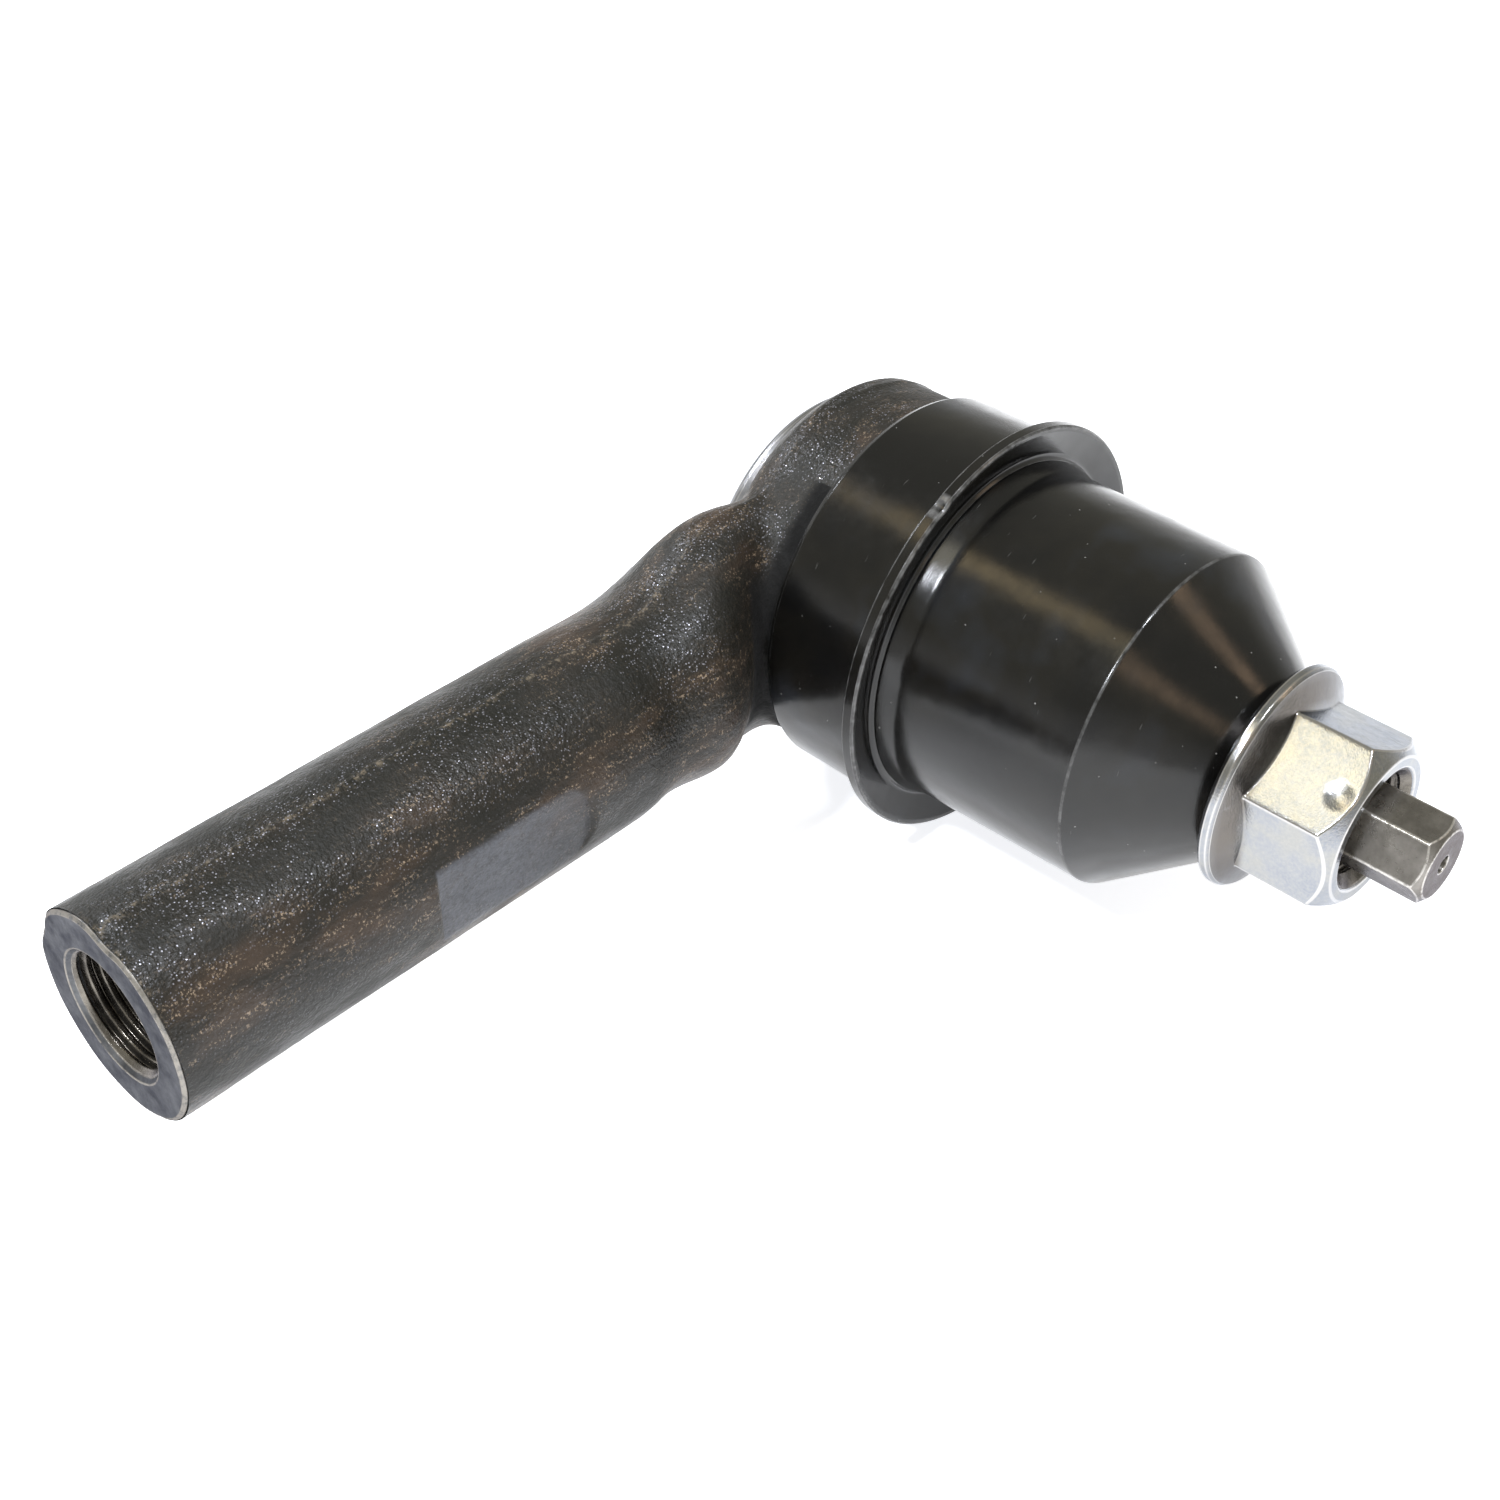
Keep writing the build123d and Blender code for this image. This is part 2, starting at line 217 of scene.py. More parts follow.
def grid_faces(rows, columns, wrap_rows, wrap_columns):
    """Quads over a rows x columns grid of points."""
    faces = []
    for i in range(rows if wrap_rows else rows - 1):
        for j in range(columns if wrap_columns else columns - 1):
            k, m = (i + 1) % rows, (j + 1) % columns
            faces.append((i * columns + j, k * columns + j, k * columns + m, i * columns + m))
    return faces


def about_stud(radius, y, angle):
    return np.stack([STUD_X + radius * np.cos(angle), y + 0 * angle, radius * np.sin(angle)], -1)


def about_shank(radius, x, angle):
    """Angle 0 is at -Y and 90 degrees at +Z."""
    return np.stack([x + 0 * angle, -radius * np.cos(angle), radius * np.sin(angle)], -1)


def full_turn(count):
    return np.linspace(0, TAU, count, endpoint=False)


def skin_over(name, points, closed=True):
    """Skin over a grid of points, one row for each angle; closed joins the ends of the rows."""
    rows, columns = points.shape[:2]
    return mesh_object(name, points.reshape(-1, 3), grid_faces(rows, columns, True, closed))


def turned(name, profile, about=about_stud, segments=192, closed=True, shape=None):
    """Turns a (radius, along) profile about an axis. shape may change (radius, along, angle)."""
    angles = full_turn(segments)
    radius, angle = np.meshgrid(profile[:, 0], angles)
    along, _ = np.meshgrid(profile[:, 1], angles)
    if shape is not None:
        radius, along = shape(radius, along, angle)
    return skin_over(name, about(radius, along, angle), closed)


def column_grid(name, angles, column):
    """Closed skin with one (radius, y) profile for each angle, all with the same number of points."""
    columns = [column(a) for a in angles]
    points = [about_stud(c[:, 0], c[:, 1], np.full(len(c), a)) for c, a in zip(columns, angles)]
    return skin_over(name, np.stack(points))


def rings(about, corners, angles):
    """The points of (radius, along) corners at each angle, to join to a thread's wall."""
    radius, along = np.array(corners, float).T
    copies = (len(angles), 1)
    return about(np.tile(radius, copies), np.tile(along, copies), angles[:, None])


def store(obj, name, values):
    """Keeps a value from 0 to 1 at each point, which the materials read by its name."""
    layer = obj.data.attributes.new(name, "FLOAT", "POINT")
    layer.data.foreach_set("value", np.asarray(values, np.float32))


def mark_edges(obj, where=None):
    """Stores wear and painted highlight on the outer edges, by how sharply the surface turns. where(co)
    weighs it.
    """
    bm = bmesh.new()
    bm.from_mesh(obj.data)
    turn = [max((e.calc_face_angle_signed(0.0) for e in v.link_edges), default=0.0) for v in bm.verts]
    bm.free()
    wear_and_highlight = smooth_step(np.array(turn), *SHARP_TURN)
    if where is not None:
        wear_and_highlight = wear_and_highlight * where(point_array(obj.data))
    store(obj, "wear_and_highlight", wear_and_highlight)
    return obj


# ---- materials --------------------------------------------------------------
# Object coordinates are stretched so that a texture scale of 1 is one unit for each millimetre.

class Nodes:
    """Short way to build a material's node tree."""

    def __init__(self, name):
        self.material = bpy.data.materials.new(name)
        self.material.use_nodes = True
        self.tree = self.material.node_tree
        self.shader = self.tree.nodes["Principled BSDF"]
        self.coords = self.tree.nodes.new("ShaderNodeTexCoord")

    def add(self, kind, **values):
        node = self.tree.nodes.new(kind)
        for key, value in values.items():
            setattr(node, key, value)
        return node

    def link(self, source, target):
        self.tree.links.new(source, target)

    def feed(self, name, source):
        """Links a node's output to the shader's input of that name."""
        self.link(source, self.shader.inputs[name])

    def set(self, **values):
        for key, value in values.items():
            self.shader.inputs[key.replace("_", " ")].default_value = value

    def scaled(self, stretch):
        mapping = self.add("ShaderNodeMapping")
        mapping.inputs["Scale"].default_value = [s / MM for s in stretch]
        self.link(self.coords.outputs["Object"], mapping.inputs["Vector"])
        return mapping.outputs["Vector"]

    def noise(self, scale, detail=2.0, rough=0.5, stretch=(1, 1, 1)):
        node = self.add("ShaderNodeTexNoise")
        node.inputs["Scale"].default_value = scale
        node.inputs["Detail"].default_value = detail
        node.inputs["Roughness"].default_value = rough
        self.link(self.scaled(stretch), node.inputs["Vector"])
        return node.outputs["Fac"]

    def spots(self, scale, size, share):
        """Round spots in some of the cells of a scattered pattern."""
        cells = self.add("ShaderNodeTexVoronoi")
        cells.inputs["Scale"].default_value = scale
        self.link(self.scaled((1, 1, 1)), cells.inputs["Vector"])
        dot = self.ramp(cells.outputs["Distance"], size)
        some = self.ramp(cells.outputs["Color"], share)
        return self.maths("MULTIPLY", dot, some)

    def stored(self, name, low, high, scale):
        """A value stored on the mesh, broken up by noise so that its edges are ragged."""
        layer = self.add("ShaderNodeAttribute", attribute_name=name)
        broken = self.ramp(self.noise(scale, 3, 0.7), [(low, 0.0), (high, 1.0)])
        return self.maths("MULTIPLY", layer.outputs["Fac"], broken)

    def ramp(self, source, stops, colour=False):
        stops = list(stops)
        node = self.add("ShaderNodeValToRGB")
        ramp = node.color_ramp
        while len(ramp.elements) < len(stops):
            ramp.elements.new(0.5)
        for element, (at, value) in zip(ramp.elements, stops):
            element.position = at
            element.color = (*value, 1) if colour else (value, value, value, 1)
        self.link(source, node.inputs["Fac"])
        return node.outputs["Color"]

    def maths(self, operation, a, b):
        node = self.add("ShaderNodeMath", operation=operation)
        for value, socket in ((a, node.inputs[0]), (b, node.inputs[1])):
            if isinstance(value, (int, float)):
                socket.default_value = value
            else:
                self.link(value, socket)
        return node.outputs[0]

    def mix(self, factor, a, b):
        node = self.add("ShaderNodeMix", data_type="RGBA")
        self.link(factor, node.inputs["Factor"])
        for value, socket in ((a, node.inputs["A"]), (b, node.inputs["B"])):
            if isinstance(value, tuple):
                socket.default_value = (*value, 1)
            else:
                self.link(value, socket)
        return node.outputs["Result"]

    def bump(self, height, strength, depth, before=None):
        """Surface relief from a height, its depth in millimetres, on top of an earlier relief."""
        node = self.add("ShaderNodeBump")
        node.inputs["Strength"].default_value = strength
        node.inputs["Distance"].default_value = depth * MM
        self.link(height, node.inputs["Height"])
        if before is not None:
            self.link(before, node.inputs["Normal"])
        return node.outputs["Normal"]


def forged_material():
    """Black phosphated forging: oily, pebbly, glinting, and rubbed brown in patches."""
    scale_black = (0.008, 0.008, 0.006)
    oily_black = (0.014, 0.012, 0.009)
    rubbed_brown = (0.044, 0.029, 0.019)
    rust_tan = (0.27, 0.205, 0.145)
    flat_sheen_grey = (0.078, 0.082, 0.096)
    tan_wear_and_highlight = (0.22, 0.18, 0.13)
    shade_black = (0.003, 0.003, 0.003)
    glint_white = (0.50, 0.50, 0.58)
    along_shank = (0.45, 1, 1)
    streaky = (0.22, 1, 1)
    m = Nodes("forged_steel")
    rubbed = m.noise(0.11, 4, 0.65, along_shank)
    tint = m.ramp(rubbed, [(0.38, scale_black), (0.52, oily_black), (0.68, rubbed_brown)], colour=True)
    fleck = m.ramp(m.noise(3.0, 3, 0.65), [(0.55, 0.0), (0.63, 1.0)])
    streak = m.ramp(m.noise(1.1, 3, 0.6, streaky), [(0.46, 0.0), (0.62, 1.0)])
    patch = m.ramp(rubbed, [(0.44, 0.12), (0.58, 1.0)])
    rust = m.maths("MULTIPLY", m.maths("MULTIPLY", fleck, streak), patch)
    aged = m.mix(rust, tint, rust_tan)
    # the flats' lighter bluish grey is painted reflection of the bright surroundings
    pressed = m.mix(m.stored("flat", 0.0, 0.6, 1.5), aged, flat_sheen_grey)
    # tan on the parting line, which is wear, and on the top of the mouth's rim, which is painted highlight
    worn_and_lit = m.mix(m.stored("wear_and_highlight", 0.50, 0.66, 1.4), pressed, tan_wear_and_highlight)
    # painted shade: the crevice between the neck and the collar's skirt is painted near black, matt and
    # without glints
    painted_crevice_shade = m.stored("painted_crevice_shade", 0.0, 0.3, 2.0)
    shaded = m.mix(painted_crevice_shade, worn_and_lit, shade_black)
    # glinting metal specks, kept mostly to the side that faces the lights by a stored weight: painted
    # highlight
    spots = m.spots(2.9, [(0.18, 1.0), (0.34, 0.0)], [(0.35, 0.0), (0.85, 1.0)])
    area = m.ramp(m.noise(0.19, 3, 0.6, along_shank), [(0.42, 0.05), (0.55, 1.0)])
    lit_side_glint = m.maths("MULTIPLY", m.maths("MULTIPLY", spots, area), m.stored("lit_side_glint", 0.0, 0.3, 2.0))
    m.feed("Base Color", m.mix(lit_side_glint, shaded, glint_white))
    m.feed("Metallic", lit_side_glint)
    m.set(IOR=1.41)
    dull = m.ramp(area, [(0.0, 0.56), (1.0, 0.40)])
    matt = m.maths("ADD", dull, m.maths("MULTIPLY", painted_crevice_shade, 0.4))
    m.feed("Roughness", m.maths("SUBTRACT", matt, m.maths("MULTIPLY", lit_side_glint, 0.14)))
    coarse = m.bump(m.noise(1.3, 2, 0.55), 1.0, 0.13)
    m.feed("Normal", m.bump(m.noise(2.6, 2, 0.55), 1.0, 0.055, coarse))
    return m.material


def plastic_material(name, streaks):
    """Glossy black moulded plastic with handling haze, edges painted lighter as highlight, faint scratches
    and dust.
    """
    black = (0.003, 0.003, 0.003)
    warm_black = (0.006, 0.0055, 0.0045)
    haze = (0.013, 0.015, 0.019)
    dust_grey = (0.26, 0.26, 0.25)
    highlight_grey = (0.20, 0.20, 0.20)
    m = Nodes(name)
    cloud = m.ramp(m.noise(0.065, 3, 0.55), [(0.42, black), (0.56, warm_black), (0.74, haze)], colour=True)
    dust = m.spots(0.62, [(0.04, 1.0), (0.085, 0.0)], [(0.66, 0.0), (0.70, 0.8)])
    scratch = m.ramp(m.noise(1.0, 2, 0.5, (0.35, 2.6, 0.35)), [(0.75, 0.0), (0.78, 0.12)])
    dusty = m.mix(m.maths("MAXIMUM", dust, scratch), cloud, dust_grey)
    # lighter, rougher sharp edges: painted highlight along the boot's shoulder and the flange's rim
    edge_highlight = m.stored("wear_and_highlight", 0.30, 0.75, 0.5)
    m.feed("Base Color", m.mix(edge_highlight, dusty, highlight_grey))
    m.set(IOR=1.47)
    gloss = m.ramp(m.noise(0.3, 4, 0.65), [(0.3, 0.12), (0.75, 0.23)])
    m.feed("Roughness", m.maths("ADD", gloss, m.maths("MULTIPLY", edge_highlight, 0.12)))
    wave = m.bump(m.noise(0.12, 2, 0.5), 0.25, 0.5)
    m.feed("Normal", m.bump(m.noise(1.0, 3, 0.7, streaks), 0.5, 0.016, wave))
    return m.material


def plated_material(name, tones, speck_tone, rough, bumpiness):
    """Bright zinc plating, uneven in tone and grain, with edges painted brighter as worn plating and painted
    highlight. tones has three colours.
    """
    edge_highlight_colour = (0.50, 0.49, 0.48)
    patch_brown = (0.115, 0.100, 0.085)
    grazing = (0.78, 0.80, 0.84, 1)
    m = Nodes(name)
    tone = m.ramp(m.noise(0.16, 3, 0.6), zip((0.36, 0.5, 0.64), tones), colour=True)
    speck = m.ramp(m.noise(2.4, 4, 0.7), [(0.42, 0.0), (0.66, 0.5)])
    with_patch = m.mix(m.stored("brown_patch", 0.05, 0.4, 0.5), m.mix(speck, tone, speck_tone), patch_brown)
    m.feed("Base Color", m.mix(m.stored("wear_and_highlight", 0.2, 0.4, 0.5), with_patch, edge_highlight_colour))
    m.set(Metallic=1.0, Specular_Tint=grazing)
    m.feed("Roughness", m.ramp(m.noise(0.7, 4, 0.6), zip((0.3, 0.7), rough)))
    soft = m.bump(m.noise(0.35, 2, 0.5), 0.3, 0.14)
    m.feed("Normal", m.bump(m.noise(4.0, 3, 0.6), bumpiness, 0.06, soft))
    return m.material


def machined_material(name, dark, light, rough, tool_marks, edge=(0.55, 0.54, 0.52), grazing=0.5):
    """Cut steel, with tool marks that follow one direction and edges painted brighter as wear and painted
    highlight.
    """
    stain_brown = (0.13, 0.11, 0.09)
    m = Nodes(name)
    tone = m.ramp(m.noise(0.28, 4, 0.65), [(0.36, dark), (0.66, light)], colour=True)
    browned = m.mix(m.stored("brown_patch", 0.2, 0.6, 0.8), tone, stain_brown)
    # the edge colour on sharp edges is painted highlight, partly wear
    m.feed("Base Color", m.mix(m.stored("wear_and_highlight", 0.30, 0.50, 1.0), browned, edge))
    m.set(Metallic=0.9, Specular_Tint=(grazing, grazing, 1.1 * grazing, 1))
    m.feed("Roughness", m.ramp(m.noise(0.9, 3, 0.6), zip((0.3, 0.7), rough)))
    marks = m.bump(m.noise(1.0, 2, 0.6, tool_marks), 0.35, 0.03)
    m.feed("Normal", m.bump(m.noise(3.5, 3, 0.6), 0.25, 0.05, marks))
    return m.material


def plain_material(name, colour, rough, metallic=0.0):
    """Even finish for the pieces inside, with a slightly uneven gloss."""
    m = Nodes(name)
    m.set(Base_Color=(*colour, 1), Metallic=metallic)
    m.feed("Roughness", m.ramp(m.noise(1.2, 3, 0.6), [(0.3, rough - 0.06), (0.7, rough + 0.06)]))
    return m.material


FORGED = forged_material()
SHELL = plastic_material("shell_black", (0.25, 9.0, 0.25))
ZINC = plated_material(
    "plated_nut", [(0.27, 0.285, 0.315), (0.30, 0.31, 0.33), (0.33, 0.33, 0.32)],
    (0.40, 0.39, 0.36), rough=(0.14, 0.24), bumpiness=0.35)
COVER = plated_material(
    "plated_cover", [(0.22, 0.23, 0.25), (0.27, 0.27, 0.29), (0.32, 0.32, 0.33)],
    (0.34, 0.34, 0.34), rough=(0.26, 0.38), bumpiness=0.2)
MOUTH = machined_material(
    "machined_face", (0.077, 0.079, 0.084), (0.160, 0.163, 0.169), rough=(0.36, 0.52),
    tool_marks=(0.6, 1.6, 0.5), edge=(0.30, 0.28, 0.25), grazing=0.28)
THREAD = machined_material(
    "cut_thread", (0.085, 0.078, 0.067), (0.23, 0.21, 0.18), rough=(0.20, 0.34),
    tool_marks=(3.0, 0.4, 0.4))
STUD = machined_material(
    "stud_steel", (0.17, 0.16, 0.145), (0.27, 0.255, 0.235), rough=(0.24, 0.36),
    tool_marks=(0.4, 2.6, 0.4), edge=(0.56, 0.54, 0.51))
RUBBER = plain_material("seal_rubber", (0.012, 0.012, 0.012), rough=0.6)
SPRING = plain_material("spring_steel", (0.34, 0.35, 0.37), rough=0.32, metallic=1.0)
ACETAL = plain_material("bearing_plastic", (0.80, 0.79, 0.74), rough=0.4)


def finish_with(obj, material):
    """Gives a piece one material."""
    obj.data.materials.clear()
    obj.data.materials.append(material)


def place(obj, material, body, slot, *nodes):
    """Gives a finished piece its material and body, and hides the CAD nodes it stands for. slot is not used.
    """
    finish_with(obj, material)
    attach(obj, body)
    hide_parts(*nodes)
    return obj


# ---- forged housing ---------------------------------------------------------

SKIN_VOXEL = 0.34
SKIN_START = -0.75           # the skin ends here, behind the mouth ring's rim
SOCKET_END = 52.0
SOCKET_CLEAR_R = 8.6

NECK_START = 74.0
EYE_START = 96.0
FLAT_START = 34.0            # wrench flats
FLAT_END = 57.0
FLAT_CORNER = 5.5
FLAT_Y = 12.35
SKIRT_GAP_R = 28.6           # the neck's end stays outside this radius beside the collar's skirt

MOUTH_FLAT_CLOCK = 154.0
MOUTH_NICK_CLOCK = 78.0
# where the lighter band of painted highlight on the top of the mouth's rim is centred
MOUTH_HIGHLIGHT_CLOCK = 62.0
# the side that faces the lights; the forging's glinting specks are painted mostly on this side
LIT_SIDE = np.array([-0.25, -0.30, 0.92])


def relax(co, edges, weight, rounds):
    """Moves each point towards its neighbours' mean by its own weight, in place."""
    moving = weight > 0.01
    edges = edges[moving[edges[:, 0]] | moving[edges[:, 1]]]
    here = np.concatenate([edges[:, 0], edges[:, 1]])
    there = np.concatenate([edges[:, 1], edges[:, 0]])
    count = np.maximum(np.bincount(here, minlength=len(co)), 1)
    share = np.where(moving, weight, 0)
    for _ in range(rounds):
        for axis in range(3):
            mean = np.bincount(here, weights=co[there, axis], minlength=len(co)) / count
            co[:, axis] += share * (mean - co[:, axis])


def forging_source():
    """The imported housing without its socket, with a rolled lip round the cover, as one closed mesh."""
    end_of_shank = -0.5
    drawn_out = 4.0
    bm = bmesh.new()
    bm.from_mesh(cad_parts["forged_housing"].data)
    bmesh.ops.remove_doubles(bm, verts=bm.verts, dist=1e-6)

    def in_socket(v):
        return v.co.x < SOCKET_END * MM and math.hypot(v.co.y, v.co.z) < SOCKET_CLEAR_R * MM

    def on_mouth(v):
        return v.co.x < (MOUTH_X + 0.01) * MM

    inner = [f for f in bm.faces if all(in_socket(v) for v in f.verts) or all(on_mouth(v) for v in f.verts)]
    bmesh.ops.delete(bm, geom=inner, context="FACES")
    bmesh.ops.delete(bm, geom=[v for v in bm.verts if not v.link_faces], context="VERTS")
    for v in bm.verts:
        if v.co.x < end_of_shank * MM:
            outwards = Vector((0, v.co.y, v.co.z)).normalized() * SHANK_R * MM
            v.co = Vector((v.co.x - drawn_out * MM, outwards.y, outwards.z))
    bmesh.ops.holes_fill(bm, edges=[e for e in bm.edges if e.is_boundary], sides=0)
    lip_profile = eased([(21.85, 5.2, 0), (21.85, 7.0, 0.45), (23.0, 6.6, 0.5), (23.5, 5.2, 0)], closed=True)
    lip = turned("lip_source", lip_profile, segments=144)
    bm.from_mesh(lip.data)
    bpy.data.objects.remove(lip)
    mesh = bpy.data.meshes.new("forging_source")
    bm.to_mesh(mesh)
    bm.free()
    return add_object("forging_source", mesh)


def remeshed(source):
    """One even skin over all of the source, which is removed."""
    remesh = source.modifiers.new("voxels", "REMESH")
    remesh.mode = "VOXEL"
    remesh.voxel_size = SKIN_VOXEL * MM
    graph = bpy.context.evaluated_depsgraph_get()
    mesh = bpy.data.meshes.new_from_object(source.evaluated_get(graph))
    bpy.data.objects.remove(source)
    mesh.name = "housing_skin"
    return mesh


def parting_line(co, normal):
    """How strongly the ragged parting line shows at each point."""
    x, y, z = co.T
    parting_y = -0.8 + 3.0 * smooth_step(x, NECK_START, EYE_START)
    side_on = np.clip(1 - np.abs(normal[:, 1]) * 1.4, 0, 1)
    outside = np.where(x > EYE_START + 2, smooth_step(np.hypot(x - STUD_X, z), 24.2, 25.0), 1.0)
    wander = 0.35 * grain(co * [1, 0, 0.1], 7.0, 5)
    return bump_at(y, parting_y + wander, 0.42) * side_on * outside


def mouth_dents(angle):
    """Depth of the flattened side of the mouth's edge, and of its nick at the parting line."""
    flattened = 0.5 * bump_at(angle_gap(angle, MOUTH_FLAT_CLOCK), 0, 10)
    nick = 0.75 * bump_at(angle_gap(angle, MOUTH_NICK_CLOCK), 0, 11)
    return flattened, nick


def forging_shape(co, normal, line):
    """Offset along the normal that gives the skin its waviness, pebbles, parting line and dents."""
    x, y, z = co.T
    from_stud = np.hypot(x - STUD_X, z)
    turned_face = (from_stud < 23.9) & (y > 4.5) | (from_stud < 22)
    rough = np.where(turned_face & (x > EYE_START), 0.15, 1.0)
    wave = 0.09 * grain(co, 11.0, 2) + 0.022 * grain(co, 3.2, 3)
    pebble = 0.026 * grain(co, 1.1, 4)
    ragged = 0.7 + 0.6 * grain(co * [1, 0, 0.3], 3.0, 1)
    flattened, nick = mouth_dents(np.arctan2(z, -y))
    dents = flattened * smooth_step(x, 12, 2) + nick * smooth_step(x, 1.2, 0.2)
    return 0.22 * line * ragged + rough * (wave + pebble) - dents


def clear_skirt(co):
    """Opens the gap between the neck's end and the collar's skirt."""
    x, y, z = co.T
    from_stud = np.hypot(x - STUD_X, z)
    beside = smooth_step(from_stud, 25.7, 26.1) * smooth_step(y, -6.4, -7.6) * (x < EYE_START + 8)
    pushed = np.maximum(from_stud, SKIRT_GAP_R + 0.12 * (from_stud - SKIRT_GAP_R))
    scale = 1 + beside * (pushed / np.maximum(from_stud, 1e-6) - 1)
    return np.stack([STUD_X + (x - STUD_X) * scale, y, z * scale], -1)


def press_flats(co):
    """Wrench flats: a crisp wall towards the mouth and round corners at the other end.

    Returns the points and how far each one is inside a flat.
    """
    x, y, z = co.T
    corner = np.clip(np.abs(z) - 0.5, 0, FLAT_CORNER)
    end = FLAT_END - FLAT_CORNER + np.sqrt(FLAT_CORNER ** 2 - corner ** 2)
    outside = np.maximum(FLAT_START - x, x - end)
    deepest = FLAT_Y + 1.1 * smooth_step(outside, 0.0, 0.6)
    texture = 0.030 * grain(co, 1.2, 6)
    pressed = np.sign(y) * np.minimum(np.abs(y), deepest + texture)
    inside = smooth_step(outside, 0.2, -0.2) * smooth_step(np.abs(y) - FLAT_Y, -0.34, -0.08)
    return np.stack([x, pressed, z], -1), inside


def cut_at_mouth(mesh):
    """Cuts the skin off square, where the mouth ring carries on."""
    bm = bmesh.new()
    bm.from_mesh(mesh)
    bmesh.ops.bisect_plane(bm, geom=bm.verts[:] + bm.edges[:] + bm.faces[:], dist=1e-7,
                           plane_co=(SKIN_START * MM, 0, 0), plane_no=(1, 0, 0), clear_inner=True)
    bm.to_mesh(mesh)
    bm.free()
    mesh.polygons.foreach_set("use_smooth", [True] * len(mesh.polygons))


def make_skin():
    """Outside of the forging: an even skin, softened at the neck, then shaped point by point."""
    mesh = remeshed(forging_source())
    co = point_array(mesh)
    edges = np.zeros(len(mesh.edges) * 2, int)
    mesh.edges.foreach_get("vertices", edges)
    edges = edges.reshape(-1, 2)
    from_stud = np.hypot(co[:, 0] - STUD_X, co[:, 2])
    relax(co, edges, np.full(len(co), 0.5), 3)
    crotch = bump_at(co[:, 0], EYE_START + 2, 10) * smooth_step(from_stud, 21, 24)
    crotch = crotch * smooth_step(co[:, 1], -15, -8)
    shank_end = bump_at(co[:, 0], NECK_START - 1, 6)
    relax(co, edges, 0.8 * np.clip(crotch + shank_end, 0, 1), 120)
    set_points(mesh, co)
    normal = np.zeros(len(mesh.vertices) * 3)
    mesh.vertices.foreach_get("normal", normal)
    normal = normal.reshape(-1, 3)

    x = co[:, 0]
    line = parting_line(co, normal)
    # lighter band on the top of the mouth's rim: painted highlight
    highlight_gap = angle_gap(np.arctan2(co[:, 2], -co[:, 1]), MOUTH_HIGHLIGHT_CLOCK)
    rim_top_highlight = 0.8 * bump_at(x, SKIN_START, 0.45) * bump_at(highlight_gap, 0, 26)
    co = clear_skirt(co + normal * forging_shape(co, normal, line)[:, None])
    co, flat = press_flats(co)
    # painted shade in the crevice between the neck and the collar's skirt
    painted_crevice_shade = smooth_step(co[:, 1], -3.2, -5.0) * smooth_step(from_stud, 30.5, 28.5) * (x < EYE_START + 10)
    # weight for painted glints on the side that faces the lights
    lit = smooth_step(normal @ LIT_SIDE, 0.72, 0.94)
    mesh.vertices.foreach_set("co", (co * MM).ravel())
    obj = add_object("housing_skin", mesh)
    store(obj, "wear_and_highlight", np.clip(0.75 * line * smooth_step(x, EYE_START, 84) + rim_top_highlight, 0, 1))
    # the flats' painted reflection fades towards their far end
    store(obj, "flat", flat * (1 - 0.55 * smooth_step(x, 44, FLAT_END)))
    store(obj, "painted_crevice_shade", painted_crevice_shade)
    store(obj, "lit_side_glint", (1 - flat) * (1 - painted_crevice_shade) * (0.15 + 0.85 * lit))
    cut_at_mouth(mesh)
    return obj


def mouth_shape(radius, x, angle):
    """The mouth ring's outer edge follows the skin's dents and has a slight burr."""
    outer = smooth_step(radius, 11.5, 12.6)
    front = smooth_step(x, 1.2, 0.2)
    flattened, nick = mouth_dents(angle)
    burr = 0.07 * np.sin(angle * 7 + 0.6) * np.sin(angle * 3 + 1.1)
    return radius - outer * (flattened + (nick + burr) * front), x


def make_mouth():
    """Machined ring round the socket: outer edge, face and countersink, closed inside the wall."""
    ring = eased([
        (9.2, 4.0, 0), (12.75, 4.0, 0), (12.9, 0.9, 0.1), (13.05, 0.4, 0.05), (13.05, -0.85, 0.1),
        (12.7, MOUTH_X, 0.12), (8.45, MOUTH_X, 0.15), (7.9, -0.62, 0.05), (7.9, 0.4, 0), (9.2, 0.6, 0),
    ], steps=3, closed=True)
    ring = divided(ring, 0.9, closed=True)
    return mark_edges(turned("socket_mouth", ring, about_shank, 240, shape=mouth_shape))


# ---- threads ----------------------------------------------------------------

PITCH = 1.5                  # of the socket's M16 thread, and of the stud's and nut's M14
SOCKET_MINOR_R = 7.188
SOCKET_MAJOR_R = 8.0
SOCKET_TURNS_END = 24.0
SOCKET_DEPTH = 46.0
DRILL_R = 7.25
DRILL_POINT = 4.2


def thread_depth(phase, low, high):
    """Radius of a 60 degree thread's wall at a phase from 0 to 1 of its pitch."""
    flanks = [0.0, 0.25, 0.5625, 0.6875, 1.0]
    return np.interp(phase % 1.0, flanks, [low, low, high, high, low])


